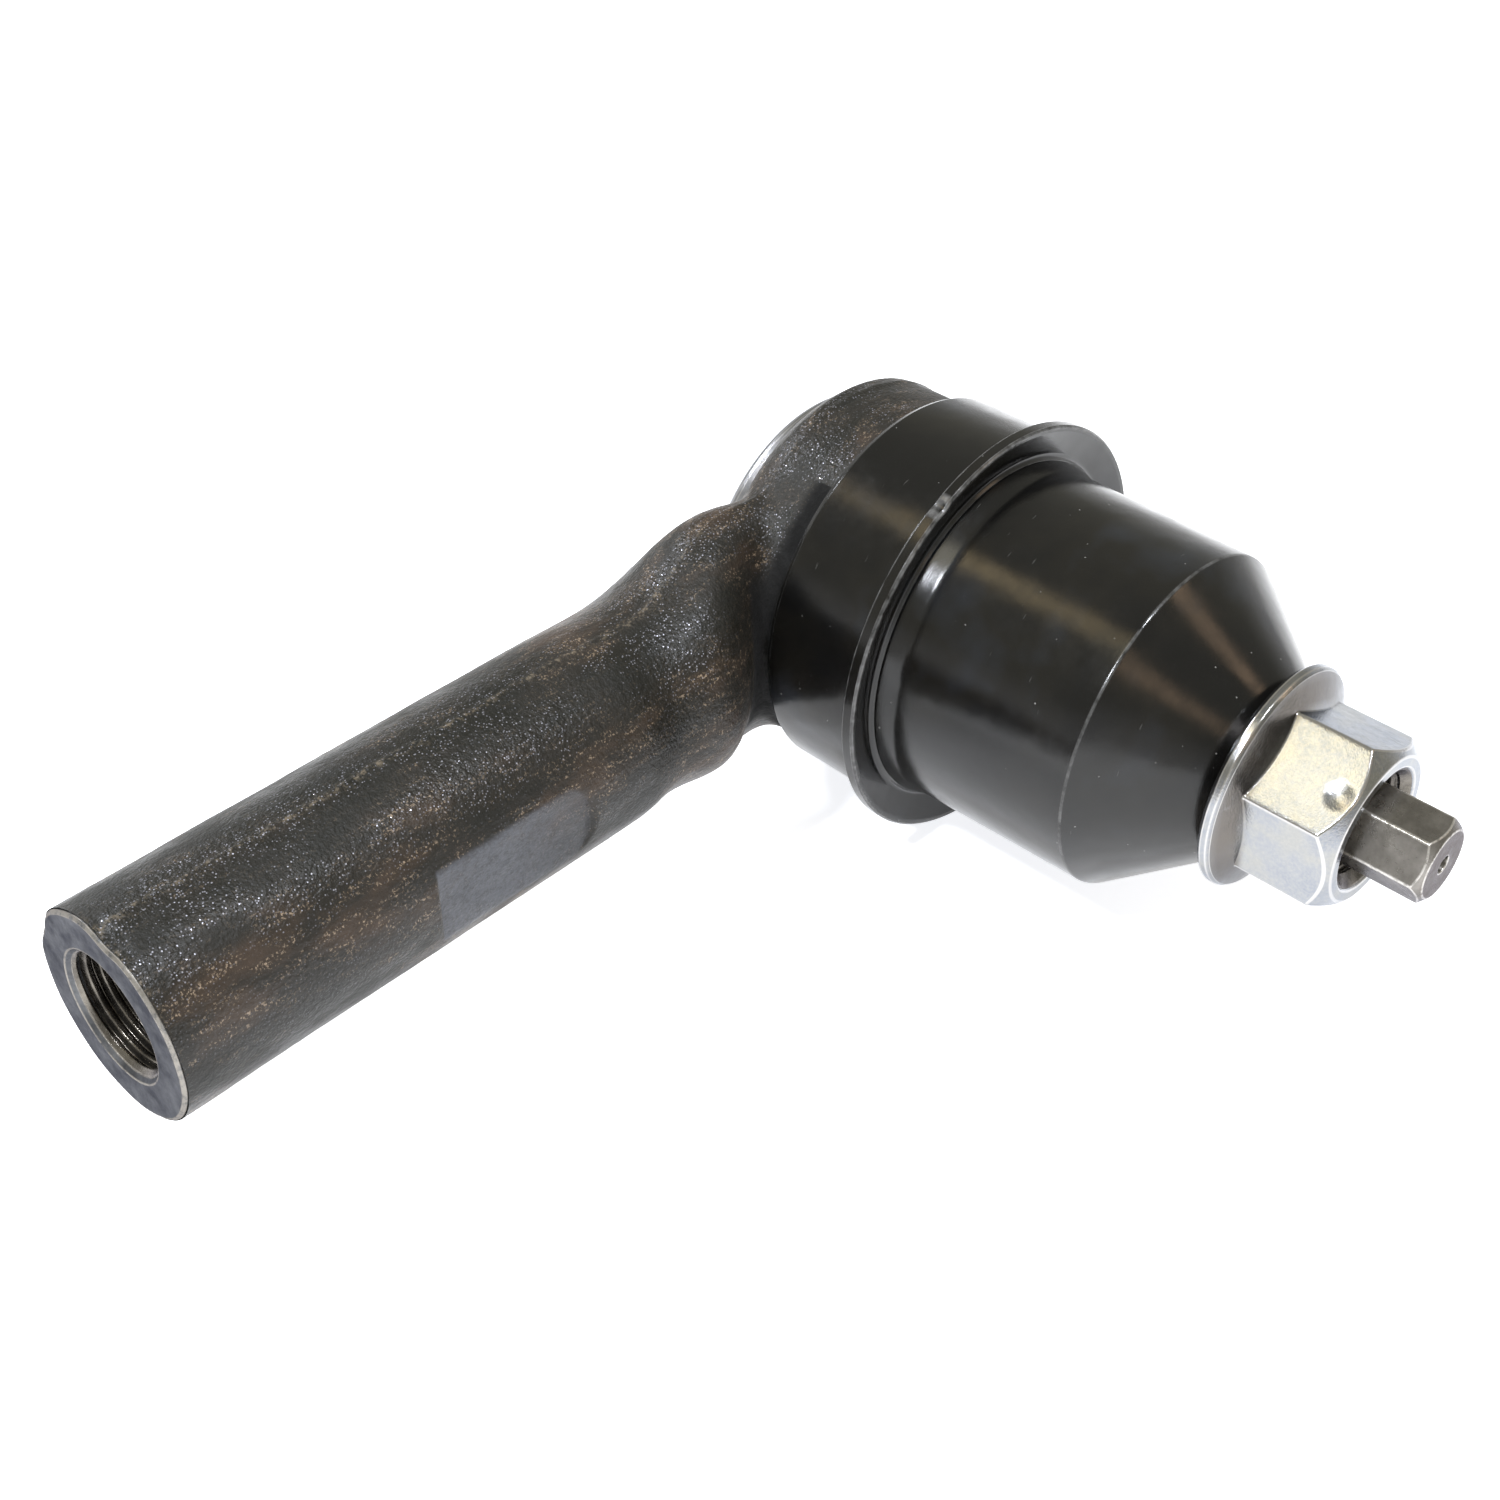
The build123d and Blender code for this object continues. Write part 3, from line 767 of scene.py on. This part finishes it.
def make_socket_thread():
    """Wall of the socket: turns that start in the countersink, then a plain drilled end."""
    turns = np.arange(-0.62, SOCKET_TURNS_END, PITCH / 14)
    x = np.concatenate([turns, np.linspace(SOCKET_TURNS_END + 0.2, SOCKET_DEPTH, 12)])
    angles = full_turn(128)
    along, angle = np.meshgrid(x, angles)
    wall = thread_depth(along / PITCH - angle / TAU, SOCKET_MINOR_R, SOCKET_MAJOR_R)
    fade = smooth_step(along, SOCKET_TURNS_END - 2, SOCKET_TURNS_END)
    wall = wall * (1 - fade) + DRILL_R * fade
    wall = np.maximum(wall, 8.42 - (along - MOUTH_X))
    drill_end = SOCKET_DEPTH + DRILL_POINT
    closing = [(0.0, drill_end), (8.6, drill_end + 0.4), (8.6, -0.6)]
    points = [about_shank(wall, along, angle), rings(about_shank, closing, angles)]
    return skin_over("socket_thread", np.concatenate(points, 1))


def make_nut_thread():
    """Inner turns of the nut, seen in its countersink."""
    y = np.arange(NUT_TOP + 0.25, NUT_BASE - 0.6, PITCH / 12)
    angles = full_turn(96)
    along, angle = np.meshgrid(y, angles)
    wall = thread_depth(along / PITCH + angle / TAU, 6.45, 7.2)
    wall = np.maximum(wall, 8.2 - (along - NUT_TOP))
    closing = [(8.4, y[-1]), (8.4, y[0])]
    points = [about_stud(wall, along, angle), rings(about_stud, closing, angles)]
    return skin_over("nut_thread", np.concatenate(points, 1))


def make_stud_thread():
    """The stud's turns, as far as their end chamfer."""
    end_y = -79.3
    y = np.arange(-67.0, end_y, -PITCH / 12)
    angles = full_turn(96)
    along, angle = np.meshgrid(y, angles)
    wall = thread_depth(along / PITCH + angle / TAU + 0.45, 6.08, 6.9)
    wall = np.minimum(wall, 6.3 + (along - end_y) * 0.9)
    start = rings(about_stud, [(0.0, -66.9)], angles)
    end = rings(about_stud, [(5.6, end_y - 0.05), (0.0, end_y - 0.05)], angles)
    points = [start, about_stud(wall, along, angle), end]
    return skin_over("stud_thread", np.concatenate(points, 1), closed=False)


place(make_skin(), FORGED, "housing", "forged_steel", "forged_housing")
place(make_mouth(), MOUTH, "housing", "forged_steel", "forged_housing")
place(make_socket_thread(), THREAD, "housing", "forged_steel", "forged_housing")


# ---- cover ------------------------------------------------------------------

def make_cover():
    """Pressed cup with a coined centre and a shallow step."""
    rim_r = 21.66
    inner_r = 20.0
    rim_y = 2.6
    centre_y = 9.25
    step_y = 9.95
    inner_y = 8.2
    profile = eased([
        (0, centre_y, 0), (7.4, centre_y, 0.5), (8.6, step_y, 0.8), (15.6, step_y, 1.0), (16.6, 9.6, 1.0),
        (rim_r, 9.45, 1.6), (rim_r, rim_y, 0.2), (inner_r, rim_y, 0.2), (inner_r, inner_y, 0.6),
        (0, inner_y, 0),
    ], steps=5)
    return mark_edges(turned("cover_cup", divided(profile, 1.2), segments=180, closed=False))


place(make_cover(), COVER, "housing", "plated_cover", "end_cover")


# ---- collar -----------------------------------------------------------------

GATE_CLOCK = 118.0
FLANGE_BACK = -22.4


def collar_shape(radius, y, angle):
    """A moulding's slight waviness, and the broken-off gate on the flange's rim."""
    rim = smooth_step(radius, 27.6, 28.6)
    wave = 0.06 * np.sin(2 * angle + 0.7) + 0.03 * np.sin(5 * angle)
    gate = bump_at(angle_gap(angle, GATE_CLOCK), 0, 1.7)
    ragged = 0.5 + 0.5 * np.sin(angle * 300) * np.cos(y * 5)
    radius = radius + rim * (wave * 0.5 - 0.42 * gate * (0.6 + 0.4 * ragged))
    y = y + rim * (wave + 0.18 * gate * ragged)
    return radius, y


def rim_highlight_weight(co):
    """Most of the painted edge highlight is on the flange's rim."""
    return np.where(np.hypot(co[:, 0] - STUD_X, co[:, 2]) > 28.4, 0.9, 0.2)


def make_collar():
    """Skirt over the eye, with a thin flange and a turned-in front lip."""
    ring = eased([
        (25.45, COLLAR_BACK, 0.1), (26.45, COLLAR_BACK, 0.25), (26.8, -7.9, 0.3), (26.85, FLANGE_BACK, 0.45),
        (COLLAR_R - 0.25, FLANGE_BACK, 0.16), (COLLAR_R, -22.65, 0.1), (COLLAR_R, -24.02, 0.1),
        (COLLAR_R - 0.25, COLLAR_FRONT, 0.14), (28.3, -24.25, 0.2), (24.65, -23.15, 0.9), (24.15, -23.7, 0.2),
        (23.55, -23.75, 0.1), (23.52, -22.6, 0), (25.45, FLANGE_BACK, 0),
    ], closed=True)
    collar = turned("collar_shell", divided(ring, 1.6, closed=True), segments=360, shape=collar_shape)
    return mark_edges(collar, rim_highlight_weight)


place(make_collar(), SHELL, "housing", "collar_plastic", "boot_collar")


# ---- boot -------------------------------------------------------------------
# Two halves, because a piece can bend across one joint only. Two halves, which meet inside the
# straight wall.

SPLIT_Y = -41.0
BOOT_BASE = (23.45, -24.0)
BOOT_SHOULDER = (23.05, -52.3)
BOOT_TIP_R = 12.0
BOOT_BORE_R = 10.3
BOOT_INNER_R = 21.4
BOOT_ROOT = -17.0            # inside the collar


def on_wall(y, fillet):
    """A corner on the boot's slightly tapered outer wall."""
    share = (y - BOOT_BASE[1]) / (BOOT_SHOULDER[1] - BOOT_BASE[1])
    return BOOT_BASE[0] + share * (BOOT_SHOULDER[0] - BOOT_BASE[0]), y, fillet


# painted highlight along the boot's shoulder crease
def shoulder_highlight(co):
    return 0.5 * bump_at(co[:, 1], BOOT_SHOULDER[1], 0.9)


def make_boot_half(name, corners):
    """Half of the boot, turned from its corners."""
    ring = divided(eased(corners, steps=5, closed=True), 1.1, closed=True)
    half = mark_edges(turned(name, ring, segments=256), shoulder_highlight)
    half.data.set_sharp_from_angle(angle=math.radians(50))
    finish_with(half, SHELL)
    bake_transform(half)
    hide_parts("dust_boot")


make_boot_half("boot_lower", [
    (23.4, BOOT_ROOT, 0), (23.45, -23.5, 0), (24.2, -23.95, 0.12), on_wall(-26.4, 3.0),
    on_wall(SPLIT_Y, 0), (BOOT_INNER_R, SPLIT_Y, 0), (BOOT_INNER_R, BOOT_ROOT, 0),
])
make_boot_half("boot_upper", [
    on_wall(SPLIT_Y, 0), (*BOOT_SHOULDER, 0.7), (BOOT_TIP_R, BOOT_END, 0.35), (BOOT_BORE_R, BOOT_END, 0.2),
    (BOOT_BORE_R, -60.2, 0.3), (13.2, -60.2, 0.4), (20.7, -51.2, 1.2), (BOOT_INNER_R, SPLIT_Y, 0),
])


# ---- nut --------------------------------------------------------------------

NUT_CLOCK = math.radians(97.5)
NUT_FLATS = 21.0
NUT_BORE_R = 7.15
NUT_TOP_R = 9.75             # flat end face, inside the corner chamfers
DOME_START = 1.5             # the flange's dome rises from its rim towards the hexagon
DOME_SLOPE = 0.50111
DIMPLE_DEPTH = 0.24          # one crimp dimple on every second side
DIMPLE_REACH = 2.2
DIMPLE_FROM_TOP = 2.6
DIMPLE_ASIDE = 0.7


def hexagon(angle, flats, clock, sharpness):
    """Radius of a hexagon with slightly rounded corners, one of them at the clock angle."""
    total = 0
    for k in range(3):
        total = total + np.abs(np.cos(angle - clock - math.radians(30 + 60 * k))) ** sharpness
    return flats / 2 / total ** (1 / sharpness)


def hexagon_angles(clock, per_flat):
    """Angles round a hexagon, closer together at its corners."""
    t = np.linspace(-1, 1, per_flat, endpoint=False)
    spread = np.sign(t) * (1 - (1 - np.abs(t)) ** 1.7)
    return np.concatenate([clock + math.radians(30 + 60 * k) + spread * math.radians(30) for k in range(6)])


def nut_column(angle):
    """Profile of the nut at one angle: flange, dome, side of the hexagon, chamfer and bore."""
    side = float(hexagon(np.array(angle), NUT_FLATS, NUT_CLOCK, 90))
    dome = DOME_START + (NUT_FLANGE_R - side) * DOME_SLOPE
    crown = 0.25 + (side - 10.1) * 1.05
    corners = [
        (8.0, NUT_BASE, 0.1), (14.6, NUT_BASE, 0.3), (NUT_FLANGE_R, NUT_BASE - 0.55, 0.3),
        (NUT_FLANGE_R - 0.05, NUT_BASE - 1.35, 0.25), (14.6, NUT_BASE - 1.75, 0.25),
        (side, NUT_BASE - dome, 0.22), (side, NUT_TOP + crown, 0.5), (NUT_TOP_R, NUT_TOP, 0.45),
        (8.35, NUT_TOP, 0.3), (NUT_BORE_R, NUT_TOP + 1.25, 0.1), (NUT_BORE_R, NUT_BASE - 1.0, 0.1),
    ]
    return eased_column(corners, (4, 1, 1, 1, 4, 24, 3, 2, 2, 8, 2))


def crimp(co, face):
    """Presses a dimple into the side of the nut that looks towards an angle."""
    out = np.array([math.cos(face), 0, math.sin(face)])
    across = np.array([-math.sin(face), 0, math.cos(face)])
    local = co - [STUD_X, NUT_TOP + DIMPLE_FROM_TOP, 0] - DIMPLE_ASIDE * across
    reach = np.hypot(local @ across, local[:, 1]) / DIMPLE_REACH
    on_face = (co - [STUD_X, 0, 0]) @ out > 9.9
    depth = np.where(on_face, DIMPLE_DEPTH * np.clip(1 - reach ** 2, 0, 1) ** 2, 0)
    return co - np.outer(depth, out)


def make_nut():
    nut = column_grid("nut_shell", hexagon_angles(NUT_CLOCK, 44), nut_column)
    co = point_array(nut.data)
    for k in range(3):
        co = crimp(co, NUT_CLOCK + math.radians(30 + 120 * k))
    set_points(nut.data, co)
    radius = np.hypot(co[:, 0] - STUD_X, co[:, 2])
    # darker brown over the flange's dome beside the hexagon
    in_corner = smooth_step(co[:, 1], -70.6, -69.4) * smooth_step(radius, 14.9, 14.3)
    store(nut, "brown_patch", 0.85 * in_corner)
    return mark_edges(nut)


place(make_nut(), ZINC, "stud", "plated_nut", "flange_nut")
place(make_nut_thread(), THREAD, "stud", "plated_nut", "flange_nut")


# ---- ball stud --------------------------------------------------------------

BALL_Y = -9.0
BALL_R = 13.45
TIP_CLOCK = math.radians(125.5)
TIP_START = -79.0
TIP_FLATS = 10.0
TIP_FACE_R = 4.55


def make_stud_body():
    """Ball with a flat on its back, neck, taper and land, as far as the start of the thread."""
    ball = [(BALL_R * math.sin(t), BALL_Y + BALL_R * math.cos(t)) for t in np.linspace(0.38, 2.62, 40)]
    profile = [(0, 3.55), *ball, (7.0, -21.5), (7.0, -30.3), (9.1, -34.0), (7.9, -58.5), (7.9, -66.0),
               (6.3, -66.1), (6.3, -67.4)]
    return turned("stud_body", divided(np.array(profile), 1.5), segments=128, closed=False)


def tip_column(angle):
    """Profile of the hexagonal tip at one angle: side, chamfered end and centre hole."""
    side = float(hexagon(np.array(angle), TIP_FLATS, TIP_CLOCK, 60))
    crown = 0.15 + (side - TIP_FACE_R) * 0.75
    corners = [
        (0, TIP_START, 0), (side, TIP_START, 0), (side, TIP_END + crown, 0.22), (TIP_FACE_R, TIP_END, 0.25),
        (1.2, TIP_END, 0.12), (0.95, TIP_END + 1.9, 0.1), (0, TIP_END + 2.3, 0),
    ]
    return eased_column(corners, (4, 10, 3, 3, 3, 1, 1))


def make_stud_tip():
    tip = mark_edges(column_grid("stud_tip", hexagon_angles(TIP_CLOCK, 30), tip_column))
    end_face = smooth_step(point_array(tip.data)[:, 1], TIP_END + 0.2, TIP_END + 0.05)
    store(tip, "brown_patch", 0.9 * end_face)
    return tip


place(make_stud_body(), STUD, "stud", "stud_steel", "ball_stud")
place(make_stud_thread(), THREAD, "stud", "stud_steel", "ball_stud")
place(make_stud_tip(), STUD, "stud", "stud_steel", "ball_stud")


# ---- inner pieces keep their CAD shape --------------------------------------

INNER = {
    "cover_seal_ring": (RUBBER, "seal_rubber"),
    "preload_spring": (SPRING, "spring_steel"),
    "pressure_plate": (SPRING, "spring_steel"),
    "upper_bearing_seat": (ACETAL, "bearing_plastic"),
    "lower_bearing_seat": (ACETAL, "bearing_plastic"),
    "boot_clamp_ring": (SPRING, "spring_steel"),
    "boot_top_bush": (ACETAL, "bearing_plastic"),
    "boot_top_ring": (SPRING, "spring_steel"),
}
for node, (material, slot) in INNER.items():
    finish_with(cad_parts[node], material)


# ---- floor, light, camera ---------------------------------------------------

FLOOR_Z = -(COLLAR_R + 0.15)
FLOOR_SIZE = 3000.0
NUT_FACE = (113.6, -75.0, 8.3)
OBJECT_MIDDLE = (85, -20, 0)
COLD = (0.88, 0.92, 1.0)
WARM = (1.0, 0.68, 0.44)
GOLDEN = (1.0, 0.78, 0.44)
STRAW = (1.0, 0.92, 0.68)

CAMERA_AZIMUTH = math.radians(-46.94)
CAMERA_ELEVATION = math.radians(39.27)
CAMERA_ROLL = math.radians(0.7)
CAMERA_PLACE = (-65.83, -153.23, 162.06)
CAMERA_LENS = 49.55


def make_floor():
    """Pale paper under the object, which glows a little so that it stays white."""
    corners = [(-1, -1), (1, -1), (1, 1), (-1, 1)]
    points = [(FLOOR_SIZE * MM * a, FLOOR_SIZE * MM * b, FLOOR_Z * MM) for a, b in corners]
    mesh = bpy.data.meshes.new("floor")
    mesh.from_pydata(points, [], [(0, 1, 2, 3)])
    floor = add_object("floor", mesh)
    material = bpy.data.materials.new("floor_paper")
    material.use_nodes = True
    paper = material.node_tree.nodes["Principled BSDF"].inputs
    paper["Base Color"].default_value = (0.88, 0.88, 0.88, 1)
    paper["Roughness"].default_value = 0.9
    paper["Emission Color"].default_value = (0.94, 0.955, 1.0, 1)
    paper["Emission Strength"].default_value = 0.82
    mesh.materials.append(material)


def area_light(name, towards, size, power, colour, distance=0.9, centre=OBJECT_MIDDLE):
    """Round softbox in a direction from a point of the object, facing it. Metres and watts."""
    light = bpy.data.lights.new(name, "AREA")
    light.shape = "DISK"
    light.size = size
    light.energy = power
    light.color = colour
    obj = add_object(name, light)
    direction = Vector(towards).normalized()
    obj.location = Vector(centre) * MM + direction * distance
    obj.rotation_euler = direction.to_track_quat("Z", "Y").to_euler()


def make_world():
    """A studio that is white round the horizon and dim, slightly olive, overhead."""
    world = bpy.data.worlds.new("studio")
    world.use_nodes = True
    tree = world.node_tree
    background = tree.nodes["Background"]
    coords = tree.nodes.new("ShaderNodeTexCoord")
    split = tree.nodes.new("ShaderNodeSeparateXYZ")
    ramp = tree.nodes.new("ShaderNodeValToRGB")
    horizon, overhead = ramp.color_ramp.elements
    horizon.position = 0.06
    horizon.color = (1.0, 1.0, 1.0, 1)
    overhead.position = 0.34
    overhead.color = (0.48, 0.466, 0.40, 1)
    tree.links.new(coords.outputs["Generated"], split.inputs["Vector"])
    tree.links.new(split.outputs["Z"], ramp.inputs["Fac"])
    tree.links.new(ramp.outputs["Color"], background.inputs["Color"])
    background.inputs["Strength"].default_value = 0.95
    bpy.context.scene.world = world


def make_camera():
    """The camera stands in front of the mouth's end, above the object, and looks down at it."""
    back = Vector((
        math.sin(CAMERA_AZIMUTH) * math.cos(CAMERA_ELEVATION),
        -math.cos(CAMERA_AZIMUTH) * math.cos(CAMERA_ELEVATION),
        math.sin(CAMERA_ELEVATION),
    ))
    data = bpy.data.cameras.new("camera")
    data.lens = CAMERA_LENS
    data.sensor_width = 36.0
    data.clip_start = 0.01
    data.clip_end = 20.0
    camera = add_object("camera", data)
    camera.rotation_mode = "QUATERNION"
    upright = (-back).to_track_quat("-Z", "Y")
    camera.rotation_quaternion = upright @ Matrix.Rotation(CAMERA_ROLL, 3, "Z").to_quaternion()
    camera.location = Vector(CAMERA_PLACE) * MM
    bpy.context.scene.camera = camera


make_floor()
area_light("overhead", (-0.60, 0.0, 0.80), 0.07, 5.0, COLD)
area_light("overhead_front", (0.05, -0.33, 0.94), 0.07, 4.0, COLD)
area_light("overhead_back", (-0.12, 0.75, 0.65), 0.12, 3.6, COLD)
area_light("warm_back", (-0.25, 0.45, 0.86), 0.20, 0.30, GOLDEN)
area_light("warm_right", (0.51, -0.60, 0.61), 0.17, 0.19, WARM)
area_light("warm_left", (-0.22, -0.80, 0.55), 0.17, 0.15, WARM)
area_light("nut_card", (-0.411, 0.314, 0.855), 0.042, 0.0135, STRAW, distance=0.13, centre=NUT_FACE)
make_world()
make_camera()
bpy.context.scene.view_settings.view_transform = "Standard"
